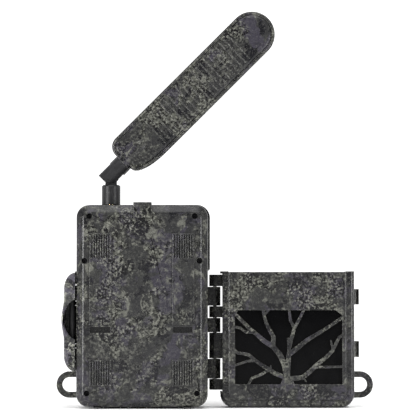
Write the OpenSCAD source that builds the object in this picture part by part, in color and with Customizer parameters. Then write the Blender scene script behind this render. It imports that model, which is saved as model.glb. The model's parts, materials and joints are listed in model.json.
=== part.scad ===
// Trail camera with its front door folded fully open, a side draw latch and a
// jointed paddle antenna. Millimetres. +X is right and +Z up when the back is
// faced, +Y is the way the lens looks. The origin is the mouth of the tripod socket.

/* [Body] */
// width of the front outline
front_width = 100; // [80:0.5:130]
// height of the front housing's top above the shell's underside
front_top = 150; // [130:0.5:170]
// amount the back shell stands in from the front outline
shell_inset = 1.6; // [0.5:0.1:4]
// depth of the back shell
shell_depth = 42; // [34:0.5:60]
// depth of the upper front housing
housing_depth = 30; // [20:0.5:40]
// lower edge of the upper front housing
housing_bottom = 100.1; // [90:0.1:110]
// wall thickness of the shells
wall = 2.4; // [1.5:0.1:4]
// corner radius of the back shell
shell_corner = 9; // [4:0.5:14]
// width of the bevel round the back face
back_bevel = 5; // [1:0.5:8]
// height of the pads on the back face
pad_rise = 1; // [0.4:0.1:2]
// height of the feet under the shell
foot_rise = 1.4; // [0.5:0.1:4]

/* [Door] */
// depth of the door
door_depth = 28; // [18:0.5:36]
// top edge of the door
door_top = 99.2; // [80:0.1:110]
// corner radius at the door's lower corners
door_corner = 11; // [4:0.5:16]
// clear width of the lamp window
window_width = 79.4; // [50:0.2:90]
// clear height of the lamp window
window_height = 54.7; // [30:0.1:70]
// lower edge of the lamp window
window_bottom = 16.2; // [10:0.1:30]
// thickness of the bare-tree grille
grille_thick = 1.8; // [1:0.1:3]

/* [Hinge] */
// distance of the hinge axis from the middle plane
hinge_x = 53.65; // [51:0.05:58]
// outside radius of the hinge knuckles
knuckle_r = 4.35; // [3:0.05:6]
// radius of the hinge pin
hinge_pin_r = 1.5; // [1:0.05:2.5]
// end gap between neighbouring knuckles
knuckle_gap = 0.4; // [0.3:0.05:1]

/* [Latch] */
// distance of the lever's pivot from the middle plane
lever_pivot_x = -52.4; // [-56:0.1:-51]
// distance of the lever's pivot in front of the socket
lever_pivot_y = 12; // [6:0.5:18]
// distance of the link's pivot from the middle plane
link_pivot_x = -51.2; // [-54:0.1:-50]
// distance of the link's pivot in front of the socket
link_pivot_y = 4.5; // [0:0.5:10]
// distance from the link's pivot to its hooking bars
link_reach = 24.8; // [18:0.1:32]
// angle the link hangs out from the side when free
link_rest_angle = 10; // [0:1:20]

/* [Antenna] */
// distance of the antenna base from the middle plane
antenna_x = -25; // [-35:0.5:35]
// distance of the antenna base in front of the socket
antenna_y = 30; // [0:0.5:40]
// radius of the base and of the sleeve
antenna_r = 7.05; // [4:0.05:10]
// height of the base
base_height = 15.1; // [8:0.1:25]
// height of the tilt pin above the base
pin_rise = 7.5; // [6:0.1:10]
// lean of the paddle from upright
antenna_lean = 45; // [0:1:90]
// width of the paddle
paddle_width = 34.7; // [20:0.1:45]
// distance from the tilt pin to the paddle's tip
paddle_reach = 168.5; // [90:0.5:200]
// thickness of the paddle
paddle_thick = 11; // [7:0.5:16]

/* [Battery tray and cards] */
// radius of one AA cell
cell_r = 7.25; // [7.25:0.05:7.3]
// length of one AA cell
cell_length = 50.5; // [50:0.1:50.6]
// wall thickness of the tray
tray_wall = 1.6; // [1:0.1:2.5]

/* [Controls and optics] */
// radius of a key
key_r = 2.95; // [2:0.05:4]
// spacing of the keys
key_pitch = 8; // [6:0.5:10]
// height of the lens axis
lens_z = 129; // [118:0.5:136]
// outside radius of the lens bezel
bezel_r = 13; // [9:0.5:16]
// radius of the lens window
window_r = 8; // [4:0.5:11]
// radius of the lamp of one emitter
lamp_r = 2.4; // [1:0.1:2.5]

/* [Hidden] */
part_y = shell_depth / 2;
back_y = -part_y;
front_y = part_y + housing_depth;
half_front = front_width / 2;
half_shell = half_front - shell_inset;
shell_top = front_top - shell_inset;
rim_y = part_y - 0.4;
cavity_x = half_shell - wall;
floor_z = -foot_rise;
door_hinge_x = 2 * hinge_x - half_front + 0.2;
door_free_x = door_hinge_x + front_width - 0.4;
door_face_y = part_y - door_depth;
door_rim_y = part_y - 0.1;
door_cut_x = hinge_x + knuckle_r + 1.2;
window_x = (door_hinge_x + door_free_x - window_width) / 2 + 0.9;
screw_spots = [[38.8, 140.1], [42.2, 107.3], [40.4, 10.1]];
strip_in = 22.4;
strip_out = 38.4;
strip_low = 60.2;
strip_high = 109;
slot_depth = 1.6;
slot_low = 54.4;
slot_high = 58.8;
tab_left = -6.4;
tab_right = 7.1;
tab_low = 138.6;
plaque_rise = 0.3;
case_knuckles = [[73.8, 88.4], [53.9, 65.0], [19.2, 34.3]];
door_knuckles = [[88.4, 97.6], [65.0, 73.8], [34.3, 53.9], [10.7, 19.2]];
hook_spans = [[35.6, 47.5], [74.9, 86.5]];
hook_reach = 4.5;
hook_back_y = 24;
hook_front_y = 29;
groove_x = 2.6;
loop_z = 14.9;
loop_r = 9.9;
loop_bar = 4.4;
loop_reach = 5.3;
loop_thick = 4;
lever_low = 25.9;
lever_high = 98.6;
lever_out = -57.5;
lever_bulge = 1.9;
lever_in = -49.2;
lever_back_y = -17;
lever_front_y = 1.5;
lever_wall = 1.8;
recess_x = -45.7;
recess_z = 64.15;
recess_half = 12;
recess_rise = 15.4;
web_in = -53.4;
web_thick = 1.6;
web_low = 34;
web_high = 90;
ear_spans = [[26.6, 29.4], [92.6, 95.4]];
arm_spans = [[29.8, 32.4], [89.6, 92.2]];
lug_spans = [[42.8, 45.6], [74.6, 77.4]];
link_low = 32.8;
link_high = 89.2;
pin_z = front_top + 0.3 + base_height + pin_rise;
base_low = front_top + 0.3;
base_top = base_low + base_height;
tip_r = paddle_width / 2;
tongue_half = 2.5;
sleeve_end = 17;
insert_r = 5.45;
insert_top = 5.4;
socket_boss_top = 3.8;
tray_x = 32.8;
tray_low = 5.9;
tray_high = 60.5;
tray_back_y = -13;
tray_front_y = 19.4;
layer_y = [-3.9, 12];
panel_back_y = 16.5;
panel_front_y = 19;
key_x = 28;
key_z = 79.5;
power_x = 24;
power_z = 64.6;
display_x = -10;
display_z = 79.5;
switch_z = 94.9;
camo = [0.34, 0.34, 0.31];
dark = [0.16, 0.16, 0.17];
steel = [0.62, 0.63, 0.65];
brass = [0.72, 0.58, 0.30];
board = [0.10, 0.24, 0.15];
glass = [0.15, 0.17, 0.20, 0.5];
$fn = 64;

// shared shapes

module box(x0, x1, y0, y1, z0, z1) {
    translate([x0, y0, z0])
        cube([x1 - x0, y1 - y0, z1 - z0]);
}

module along_y(x, z, y0, y1, r) {
    translate([x, y1, z])
        rotate([90, 0, 0])
            cylinder(r = r, h = y1 - y0);
}

module along_z(x, y, z0, z1, r) {
    translate([x, y, z0])
        cylinder(r = r, h = z1 - z0);
}

module plate_y(y0, y1) {
    translate([0, y1, 0])
        rotate([90, 0, 0])
            linear_extrude(y1 - y0)
                children();
}

module plate_z(z0, z1) {
    translate([0, 0, z0])
        linear_extrude(z1 - z0)
            children();
}

module round_rect(x0, x1, z0, z1, r) {
    translate([x0 + r, z0])
        square([x1 - x0 - 2 * r, z1 - z0]);
    translate([x0, z0 + r])
        square([x1 - x0, z1 - z0 - 2 * r]);
    for (x = [x0 + r, x1 - r], z = [z0 + r, z1 - r])
        translate([x, z])
            circle(r = r);
}

module both_sides() {
    children();
    mirror([1, 0, 0])
        children();
}

// case

module shell_solid(inset) {
    round_rect(-half_shell + inset, half_shell - inset, inset, shell_top - inset, shell_corner - inset);
}

module bevel_cut(reach) {
    translate([reach, 0, 0])
        rotate([0, 0, 45])
            translate([-150, -60, -120])
                cube([300, 60, 240]);
}

module shell_block(inset) {
    reach = part_y - back_bevel - inset * sqrt(2);
    difference() {
        plate_y(back_y + inset, rim_y + inset)
            shell_solid(inset);
        translate([0, 0, shell_top / 2])
            for (turn = [0, 90, 180, 270])
                rotate([0, turn, 0])
                    bevel_cut((turn % 180 == 0 ? half_shell : shell_top / 2) + reach);
    }
}

module groove_pad(x0, x1, z0, z1) {
    difference() {
        box(x0, x1, back_y - pad_rise, back_y + 0.5, z0, z1);
        for (i = [0:7])
            box(x0 + 1.3 + i * 1.8, x0 + 2.2 + i * 1.8, back_y - pad_rise - 1, back_y - 0.2, z0 + 0.8, z1 - 0.8);
    }
}

module padlock_loop(x_root, x_arc, y0, y1) {
    toward = x_arc > x_root ? 1 : -1;
    low_x = min(x_root, x_arc + toward * loop_r);
    high_x = max(x_root, x_arc + toward * loop_r);
    plate_y(y0, y1)
        difference() {
            intersection() {
                union() {
                    translate([min(x_root, x_arc), loop_z - loop_r])
                        square([abs(x_arc - x_root), 2 * loop_r]);
                    translate([x_arc, loop_z])
                        circle(r = loop_r);
                }
                translate([low_x, loop_z - loop_r])
                    square([high_x - low_x, 2 * loop_r]);
            }
            translate([x_arc, loop_z])
                circle(r = loop_r - loop_bar);
            translate([min(x_arc, x_arc - toward * loop_reach), loop_z - loop_r + loop_bar])
                square([loop_reach, 2 * (loop_r - loop_bar)]);
        }
}

module case_knuckle(span) {
    low = span[0] + knuckle_gap / 2;
    high = span[1] - knuckle_gap / 2;
    along_z(hinge_x, part_y, low, high, knuckle_r);
    box(half_shell - 1.5, hinge_x, part_y - knuckle_r, part_y - 0.8, low, high);
}

module back_shell() {
    color(camo)
        difference() {
            union() {
                difference() {
                    shell_block(0);
                    shell_block(wall);
                }
                for (spot = screw_spots)
                    both_sides()
                        along_y(spot[0], spot[1], back_y + 0.5, panel_back_y - 0.2, 3.6);
                for (x = [-strip_out, strip_in]) {
                    groove_pad(x, x + strip_out - strip_in, 108.4, 127.4);
                    groove_pad(x, x + strip_out - strip_in, 15.4, 34.6);
                    box(x, x + strip_out - strip_in, back_y - pad_rise, back_y + 0.5, strip_low, strip_high);
                }
                box(tab_left, tab_right, back_y - pad_rise, back_y + 8, tab_low, front_top + 0.4);
                plate_y(back_y - plaque_rise, back_y + 0.5)
                    round_rect(tab_left - 2.5, tab_right + 0.6, tab_low - 13.9, tab_low + 0.5, 1.2);
                for (span = case_knuckles)
                    case_knuckle(span);
                for (span = ear_spans) {
                    along_z(lever_pivot_x, lever_pivot_y, span[0], span[1], 1.9);
                    box(lever_pivot_x, -half_shell + 1, lever_pivot_y - 1.9, lever_pivot_y + 1.9, span[0], span[1]);
                }
                padlock_loop(-half_shell + 1.2, -55.3, rim_y - loop_thick, rim_y);
                along_z(0, 0, 0.5, socket_boss_top, 8);
                box(-49.8, -half_shell + 1, rim_y - 2.2, rim_y, 26, 99.9);
                for (x = [-34, 34], z = [68, 131])
                    along_y(x, z, back_y + 1, -14, 2.4);
            }
            for (span = case_knuckles)
                along_z(hinge_x, part_y, span[0] - 1, span[1] + 1, hinge_pin_r + 0.02);
            for (span = ear_spans)
                along_z(lever_pivot_x, lever_pivot_y, span[0] - 1, span[1] + 1, 1.06);
            for (spot = screw_spots)
                both_sides() {
                    along_y(spot[0], spot[1], back_y - 2, back_y + 4, 2.1);
                    along_y(spot[0], spot[1], back_y + 2, panel_back_y + 1, 1.2);
                }
            box(-strip_out, -strip_in - 0.6, back_y - 0.1, back_y + slot_depth, slot_low, slot_high);
            box(strip_in + 0.2, strip_out - 1, back_y - 0.1, back_y + slot_depth, slot_low, slot_high);
            along_z(0, 0, -1, 10, insert_r + 0.05);
        }
}

module feet() {
    color(dark)
        for (x = [-33, 33], y = [-13, 14])
            box(x - 2.6, x + 2.6, y - 4, y + 4, floor_z, 0);
}

module tripod_insert() {
    color(brass)
        difference() {
            along_z(0, 0, 0, insert_top, insert_r);
            along_z(0, 0, -1, insert_top - 0.5, 3.175);
        }
}

module rear_screws() {
    color(steel)
        for (spot = screw_spots)
            both_sides()
                difference() {
                    union() {
                        along_y(spot[0], spot[1], back_y + 2.2, back_y + 4, 2);
                        along_y(spot[0], spot[1], back_y + 4, spot[1] > 100 ? 30 : panel_back_y + 1.6, 1.1);
                    }
                    translate([spot[0], back_y + 2, spot[1]])
                        rotate([90, 0, 0])
                            cylinder(r = 1.1, h = 2, center = true, $fn = 6);
                }
}

module housing_outline(inset, corner) {
    low = housing_bottom + inset;
    round_rect(-half_front + inset, half_front - inset, low, front_top - inset, corner);
    translate([-half_front + inset + 1, low])
        square([front_width - 2 * inset - 2, 15]);
    translate([-half_front + inset, low + 1])
        square([front_width - 2 * inset, 14]);
}

module front_housing() {
    color(camo)
        difference() {
            union() {
                difference() {
                    plate_y(part_y - 0.1, front_y)
                        housing_outline(0, 10);
                    plate_y(part_y - 1, front_y - wall)
                        housing_outline(wall, 10 - wall);
                }
                for (spot = screw_spots)
                    if (spot[1] > 100)
                        both_sides()
                            along_y(spot[0], spot[1], part_y, front_y - wall + 0.5, 3.4);
                for (x = [-14, 14], z = [118, 142])
                    along_y(x, z, 26, front_y - wall + 0.5, 1.8);
            }
            for (spot = screw_spots)
                both_sides()
                    along_y(spot[0], spot[1], part_y - 1, part_y + 10, 1.2);
            along_y(0, lens_z, front_y - 4, front_y + 1, bezel_r + 0.1);
            box(-13.3, 13.3, front_y - 4, front_y + 1, 103, 115.6);
            along_y(30, 136, front_y - 4, front_y + 1, 1.7);
            along_y(-30, 136, front_y - 4, front_y + 1, 1.7);
            along_z(antenna_x, antenna_y, front_top - 4, front_top + 1, 3.3);
        }
}

module case_gasket() {
    color(dark)
        plate_y(rim_y, part_y - 0.1)
            difference() {
                union() {
                    round_rect(-half_shell + 0.6, half_shell - 0.6, 110, shell_top - 0.6, shell_corner - 0.6);
                    translate([-half_shell + 0.6, 100.4])
                        square([2 * half_shell - 1.2, 20]);
                }
                union() {
                    round_rect(-cavity_x + 0.2, cavity_x - 0.2, 110, shell_top - wall - 0.2, shell_corner - wall - 0.2);
                    translate([-cavity_x + 0.2, 99])
                        square([2 * cavity_x - 0.4, 20]);
                }
            }
}

module inner_panel() {
    color(dark)
        difference() {
            union() {
                box(-cavity_x + 0.2, cavity_x - 0.2, panel_back_y, panel_front_y, 11, 99);
                box(-36.5, 36.5, panel_back_y, panel_front_y, wall + 0.2, 12);
                plate_y(panel_back_y, panel_front_y)
                    round_rect(-cavity_x + 0.2, cavity_x - 0.2, wall + 0.2, 40, shell_corner - wall - 0.2);
                box(-cavity_x + 0.2, cavity_x - 0.2, panel_back_y, rim_y, 97.4, 99);
            }
            box(-tray_x - 0.6, tray_x + 0.6, panel_back_y - 1, panel_front_y + 1, tray_low - 0.6, tray_high + 0.8);
            box(display_x - 22, display_x + 22, panel_back_y - 1, panel_front_y + 1, display_z - 16, display_z + 16);
            for (d = [[0, 0], [1, 0], [-1, 0], [0, 1], [0, -1]])
                along_y(key_x + d[0] * key_pitch, key_z + d[1] * key_pitch, 10, 30, key_r + 0.35);
            box(20.4, 35.6, 10, 30, switch_z - 1.8, switch_z + 1.8);
            box(-41.2, -37.8, 10, 30, 66.6, 91.4);
            box(42.2, 44, 10, 30, 64.6, 80.4);
            both_sides()
                along_y(screw_spots[2][0], screw_spots[2][1], 10, panel_front_y - 0.8, 1.2);
            for (i = [0:3])
                along_y(power_x - 6 + i * 4, power_z, 10, 30, 0.85);
        }
}

module battery_bay() {
    color(dark)
        difference() {
            box(-tray_x - 1.8, tray_x + 1.8, -15.2, panel_back_y, tray_low - 1.8, tray_high + 1.8);
            box(-tray_x - 0.6, tray_x + 0.6, -14, panel_back_y + 1, tray_low - 0.6, tray_high + 0.8);
            along_z(0, 0, tray_low - 2, tray_low - 0.5, insert_r + 0.35);
            for (x = [-12, 12])
                box(x - 3.2, x + 3.2, -16, -13, 28, 36);
        }
}

module bay_contacts() {
    color(brass)
        for (x = [-12, 12])
            box(x - 3, x + 3, -14.6, -13.5, 28.4, 35.6);
}

module hinge_pin() {
    color(steel)
        along_z(hinge_x, part_y, door_knuckles[3][0] + 0.3, door_knuckles[0][1] - 0.3, hinge_pin_r);
}

module main_board() {
    color(board)
        difference() {
            box(-37.5, 37.5, -14, -12.4, 64.5, 134.5);
            for (x = [-34, 34], z = [68, 131])
                along_y(x, z, -16, -10, 1.4);
        }
}

module modem_module() {
    color(steel)
        union() {
            box(-6, 26, -12.4, -9.6, 98, 128);
            box(-28, -12, -12.4, -10.9, 104, 120);
            box(-22, -8, -12.4, -11.2, 78, 92);
        }
}

// optics in the upper housing

module sensor_board() {
    color(board)
        box(-16, 16, 24.4, 26, 103.6, 145);
}

module image_sensor() {
    color(dark)
        box(-4.2, 4.2, 26, 27.2, lens_z - 4.2, lens_z + 4.2);
}

module lens_holder() {
    color(dark)
        difference() {
            union() {
                box(-9, 9, 26, 30, lens_z - 9, lens_z + 9);
                along_y(0, lens_z, 30, 40, 8);
            }
            along_y(0, lens_z, 25, 41, 6.6);
        }
}

module lens_barrel() {
    color(dark)
        difference() {
            along_y(0, lens_z, 31, 48, 6.5);
            along_y(0, lens_z, 30, 44, 4.6);
            along_y(0, lens_z, 43, 49, 5.6);
        }
}

module lens_elements() {
    color(glass)
        union() {
            intersection() {
                along_y(0, lens_z, 44, 48, 5.5);
                translate([0, 35.6, lens_z])
                    sphere(r = 12);
            }
            along_y(0, lens_z, 33, 35, 4.5);
        }
}

module lens_bezel() {
    color(dark)
        translate([0, 0, lens_z])
            rotate([-90, 0, 0])
                rotate_extrude()
                    polygon([
                        [window_r + 0.2, front_y - 4],
                        [bezel_r, front_y - 4],
                        [bezel_r, front_y + 0.4],
                        [bezel_r - 1, front_y + 1.2],
                        [bezel_r - 2.4, front_y + 1.2],
                        [window_r + 0.2, front_y - 0.6]
                    ]);
}

module lens_window() {
    color(glass)
        along_y(0, lens_z, front_y - 2.4, front_y - 0.9, window_r);
}

module pir_lens() {
    color([0.75, 0.75, 0.73])
        union() {
            intersection() {
                difference() {
                    along_z(0, front_y - 15.4, 103.3, 115.3, 16);
                    along_z(0, front_y - 15.4, 102, 117, 15.2);
                }
                box(-13, 13, front_y - 8, front_y + 2, 100, 120);
            }
            both_sides()
                box(10.4, 15.2, front_y - 4, front_y - wall - 0.1, 102.8, 115.8);
        }
}

module pir_sensor() {
    color(steel)
        union() {
            along_y(0, 109.3, 26, 26.6, 4.6);
            along_y(0, 109.3, 26.6, 30.4, 4.1);
        }
}

module light_sensor() {
    color(glass)
        along_y(30, 136, front_y - 3.4, front_y - 0.3, 1.6);
}

module status_lamp() {
    color([0.7, 0.25, 0.2])
        along_y(-30, 136, front_y - 3.4, front_y - 0.3, 1.6);
}

module antenna_jack() {
    color(brass)
        difference() {
            union() {
                along_z(antenna_x, antenna_y, 144.4, front_top - 2.5, 5);
                along_z(antenna_x, antenna_y, front_top - 2.5, 158, 3.1);
            }
            along_z(antenna_x, antenna_y, 152, 159, 2.2);
        }
}

// inner panel's fittings

module display_window() {
    color(glass)
        box(display_x - 21.8, display_x + 21.8, panel_front_y - 1.2, panel_front_y, display_z - 15.8, display_z + 15.8);
}

module display_module() {
    color(dark)
        box(display_x - 23, display_x + 23, 12.4, 16.3, display_z - 17, display_z + 17);
}

module key_mat() {
    color(dark)
        difference() {
            box(key_x - 13, key_x + 13, 10.8, panel_back_y - 0.1, key_z - 13, key_z + 12.6);
            box(key_x - 12, key_x + 12, 12.3, panel_back_y + 1, key_z - 12, key_z + 12);
        }
}

module key(dx, dz) {
    color([0.24, 0.24, 0.25])
        union() {
            along_y(key_x + dx * key_pitch, key_z + dz * key_pitch, 13.8, 20.6, key_r);
            along_y(key_x + dx * key_pitch, key_z + dz * key_pitch, 13.8, 15.6, key_r + 0.7);
        }
}

module key_up() {
    key(0, 1);
}

module key_down() {
    key(0, -1);
}

module key_left() {
    key(-1, 0);
}

module key_right() {
    key(1, 0);
}

module key_ok() {
    key(0, 0);
}

module switch_body() {
    color(steel)
        difference() {
            box(19, 37, 9, panel_back_y - 0.1, switch_z - 2.4, switch_z + 2.4);
            box(20.4, 35.6, 12.6, panel_back_y + 1, switch_z - 3, switch_z + 3);
        }
}

module mode_switch() {
    color([0.24, 0.24, 0.25])
        union() {
            box(26, 30, 13, 20.8, switch_z - 1.3, switch_z + 1.3);
            box(25, 31, 13, 15.6, switch_z - 2.2, switch_z + 2.2);
        }
}

module sd_reader() {
    color(steel)
        difference() {
            box(-41.4, -37.6, -12, panel_back_y - 0.1, 66, 92);
            box(-40.9, -38.1, -11.6, panel_back_y + 1, 66.6, 91.4);
        }
}

module sd_card() {
    color([0.13, 0.16, 0.22])
        box(-40.5, -38.5, -11.2, 20.6, 67, 91);
}

module sim_reader() {
    color(steel)
        difference() {
            box(41.9, 44.5, -5.6, panel_back_y - 0.1, 64, 81);
            box(42.4, 43.9, -5.2, panel_back_y + 1, 64.6, 80.4);
        }
}

module sim_card() {
    color([0.85, 0.85, 0.82])
        box(42.75, 43.55, -4.8, 20.2, 65, 80);
}

module power_pins() {
    color(brass)
        for (i = [0:3])
            union() {
                along_y(power_x - 6 + i * 4, power_z, 13, 22, 0.8);
                along_y(power_x - 6 + i * 4, power_z, 12.6, 16.4, 1.2);
            }
}

// battery tray

module battery_tray() {
    color(dark)
        difference() {
            union() {
                box(-tray_x, tray_x, tray_back_y, tray_front_y, tray_low, tray_high);
                box(-9, 9, tray_front_y - 1, tray_front_y + 2.2, tray_high - 1.6, tray_high);
            }
            for (y = layer_y)
                for (i = [0:3])
                    box(
                        -30.9 + i * 15.6, -15.9 + i * 15.6,
                        y - cell_r - 0.2, y + cell_r + (y > 0 ? 2 : 0.2),
                        tray_low + tray_wall, tray_high - tray_wall
                    );
        }
}

module battery_cells() {
    color([0.55, 0.47, 0.30])
        for (i = [0:3], y = layer_y)
            translate([-23.4 + i * 15.6, y, (tray_low + tray_high) / 2])
                mirror([0, 0, i % 2])
                    union() {
                        translate([0, 0, -cell_length / 2])
                            cylinder(r = cell_r - 0.05, h = cell_length - 1.2);
                        translate([0, 0, cell_length / 2 - 1.2])
                            cylinder(r = 2.7, h = 1.2);
                    }
}

module cell_contacts() {
    color(steel)
        for (i = [0:3], y = layer_y)
            translate([-23.4 + i * 15.6, y, (tray_low + tray_high) / 2])
                for (s = [-1, 1])
                    translate([0, 0, s * (cell_length / 2 + 0.25)])
                        union() {
                            cube([10, 10, 0.3], center = true);
                            cylinder(r = 2.4, h = 0.36, center = true);
                        }
}

// door, drawn folded back beside the case

module door_outline(inset) {
    x0 = door_hinge_x + inset;
    x1 = door_free_x - inset;
    z0 = floor_z + inset;
    z1 = door_top - inset;
    r = door_corner - inset;
    translate([x0, z0 + r])
        square([x1 - x0, z1 - z0 - r]);
    translate([x0 + r, z0])
        square([x1 - x0 - 2 * r, z1 - z0]);
    for (x = [x0 + r, x1 - r])
        translate([x, z0 + r])
            circle(r = r);
}

module bough(pts, w0, w1) {
    n = len(pts) - 1;
    for (i = [0:n - 1]) {
        a = pts[i];
        b = pts[i + 1];
        wa = (w0 + (w1 - w0) * i / n) / 2;
        wb = (w0 + (w1 - w0) * (i + 1) / n) / 2;
        side = [a[1] - b[1], b[0] - a[0]] / norm(b - a);
        polygon([a + side * wa, b + side * wb, b - side * wb, a - side * wa]);
        translate(b)
            circle(r = wb, $fn = 12);
    }
}

module tree() {
    polygon([[33, -1], [36, 5], [37, 11], [40, 11], [41, 5], [45, -1]]);
    bough([[38, 8], [36.5, 15], [33, 22], [28, 28], [22, 31.5], [17, 36], [11, 41], [6, 46], [0, 52]], 4.6, 2.4);
    bough([[14, 38.5], [8, 38.5], [4, 41.5], [-1, 42.5]], 2.4, 1.8);
    bough([[28, 28], [28.5, 35], [25, 41], [23, 45.5], [21.5, 51], [20.5, 56]], 3.4, 1.8);
    bough([[21.5, 51], [26, 56]], 1.9, 1.5);
    bough([[38.5, 8], [39.5, 18], [40, 25], [39.5, 33.5]], 4.4, 1.8);
    bough([[40, 27], [41.5, 33], [44, 41.5], [41, 47], [40, 56]], 3.2, 1.8);
    bough([[44, 41.5], [47.5, 48], [51.5, 56]], 2.4, 1.8);
    bough([[40, 22], [46.5, 27], [52.5, 32], [59, 36], [68, 41.5], [80.5, 50]], 3.8, 2.2);
    bough([[41, 4], [50, 5], [55, 9], [60, 14], [67, 19.5], [72, 24.5], [74.5, 29.5], [77, 34.5], [81, 37]], 3.8, 2);
    bough([[72.5, 25.5], [71, 32]], 2, 1.2);
    bough([[58, 12.6], [66, 12.6], [81, 13]], 2.2, 1.6);
    bough([[37, 5], [29.5, 8], [25, 11], [20, 14], [15, 17.5], [10.5, 21.5], [6, 22.6], [2, 23], [-1, 26]], 3.4, 2);
    bough([[14.5, 17.5], [9, 17], [6, 16], [-1, 13.5]], 2.2, 1.6);
    bough([[24.5, 10.5], [19, 7], [12.5, 4.5], [9.5, -1]], 2.4, 1.8);
    bough([[26, 10], [26.5, 14]], 1.8, 0.9);
    bough([[50, 5.4], [53, 1.5]], 1.6, 0.9);
}

module window_outline(grow) {
    w = window_width + grow;
    h = window_height + grow;
    polygon([[-grow, -grow], [w, -grow], [w, h - 4], [w - 5, h], [2.5 - grow, h], [-grow, h - 3.5]]);
}

module door_shell() {
    color(camo)
        difference() {
            union() {
                difference() {
                    plate_y(door_face_y, door_rim_y)
                        door_outline(0);
                    plate_y(door_face_y + wall, door_rim_y + 1)
                        difference() {
                            door_outline(wall);
                            square([door_cut_x + wall, 98.6]);
                        }
                    translate([window_x, 0, window_bottom])
                        plate_y(door_face_y - 1, door_face_y + wall + 1)
                            window_outline(0);
                    box(door_hinge_x - 1, door_cut_x, door_face_y - 1, door_rim_y + 1, 10.2, 98.1);
                }
                translate([window_x, 0, window_bottom])
                    plate_y(door_face_y + 0.2, door_face_y + 0.2 + grille_thick)
                        offset(r = 0.5)
                            offset(delta = -0.5)
                                intersection() {
                                    tree();
                                    window_outline(0.4);
                                }
                box(door_hinge_x, door_hinge_x + 6.2, door_face_y + 3, door_rim_y, door_top - 1, door_top + 0.5);
                box(door_free_x - 6.2, door_free_x, door_face_y + 3, door_rim_y, door_top - 1, door_top + 0.5);
                for (span = door_knuckles) {
                    low = span[0] + knuckle_gap / 2;
                    high = span[1] - knuckle_gap / 2;
                    along_z(hinge_x, part_y, low, high, knuckle_r);
                    box(hinge_x, door_cut_x + 1, part_y - knuckle_r, part_y - 0.4, low, high);
                }
                for (span = hook_spans)
                    box(
                        door_free_x - 1, door_free_x + hook_reach,
                        2 * part_y - hook_front_y, 2 * part_y - hook_back_y,
                        span[0], span[1]
                    );
                padlock_loop(door_free_x - 1.2, 162.4, door_rim_y - 0.2 - loop_thick, door_rim_y - 0.2);
            }
            for (span = door_knuckles)
                along_z(hinge_x, part_y, span[0] - 1, span[1] + 1, hinge_pin_r + 0.06);
            for (span = hook_spans)
                along_z(door_free_x + groove_x, 2 * part_y - hook_front_y - 0.3, span[0] - 1, span[1] + 1, 1.6);
        }
}

module lamp_window() {
    color([0.03, 0.03, 0.035])
        box(
            window_x - 2.4, window_x + window_width + 2.4,
            door_face_y + wall + 0.1, door_face_y + wall + 1.7,
            window_bottom - 2.4, window_bottom + window_height + 2.4
        );
}

module lamp_board() {
    color(board)
        box(window_x, window_x + window_width, 3.4, 5, window_bottom + 2, window_bottom + window_height - 2);
}

module infrared_lamps() {
    color([0.12, 0.12, 0.14])
        for (i = [0:7], j = [0:4])
            along_y(window_x + 8 + i * 9.05, window_bottom + 9.2 + j * 9.05, -2, 3.4, lamp_r);
}

module liner_x(side) {
    translate([side > 0 ? door_free_x - wall - 7.4 : door_cut_x + wall + 6.6, 0, 0])
        children();
}

module door_liner() {
    color(dark)
        difference() {
            union() {
                plate_y(9, 10.8)
                    round_rect(door_cut_x + wall + 0.4, door_free_x - wall - 0.4, 1.8, door_top - wall - 0.4, 8.2);
                for (side = [-1, 1], z = [10, 88])
                    liner_x(side)
                        along_y(0, z, door_face_y + wall + 2.2, 9.2, 3);
                for (x = [3, window_width - 3], z = [5, window_height - 5])
                    along_y(window_x + x, window_bottom + z, 5, 9.2, 1.6);
            }
            for (side = [-1, 1], z = [10, 88])
                liner_x(side)
                    along_y(0, z, -1, 12, 1.2);
        }
}

module liner_screws() {
    color(steel)
        for (side = [-1, 1], z = [10, 88])
            liner_x(side)
                difference() {
                    union() {
                        along_y(0, z, 10.8, 12.2, 2.3);
                        along_y(0, z, 0, 10.8, 1.1);
                    }
                    translate([0, 12.2, z])
                        rotate([90, 0, 0])
                            cylinder(r = 1.1, h = 1.8, center = true, $fn = 6);
                }
}

module door_gasket() {
    color(dark)
        plate_y(18.4, 20.4)
            difference() {
                round_rect(door_cut_x + wall + 0.1, door_free_x - wall - 0.1, 1.2, door_top - wall - 0.1, 8.4);
                round_rect(door_cut_x + wall + 1.7, door_free_x - wall - 1.7, 2.8, door_top - wall - 1.7, 6.8);
            }
}

module power_pads() {
    color(brass)
        translate([2 * hinge_x - power_x, 0, power_z])
            union() {
                box(-9, 9, 10.8, 18.6, -3.4, 3.4);
                for (i = [0:3])
                    along_y(-6 + i * 4, 0, 18.6, 19, 1.2);
            }
}

// side latch

function corner_curve(x_side, z_mid, rise, start) = [
    for (i = [0:8])
        let (a = start + i * 90 / 8)
            [x_side + (lever_in - lever_out) * cos(a), z_mid + rise * sin(a)]
];

function bulge_curve(shift) = [
    for (i = [0:12])
        let (t = 1 - i / 6)
            [lever_out - lever_bulge * pow(cos(90 * t), 2) + shift, recess_z + 16 * t]
];

module lever_outline() {
    polygon(concat(
        corner_curve(lever_in, lever_high - 12.1, 12.1, 90),
        bulge_curve(0),
        corner_curve(lever_in, lever_low + 12.1, 12.1, 180)
    ));
}

module lever_inside() {
    offset(delta = -lever_wall)
        union() {
            lever_outline();
            translate([lever_in - 4, lever_low + 0.1])
                square([12, lever_high - lever_low - 0.2]);
        }
}

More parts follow.
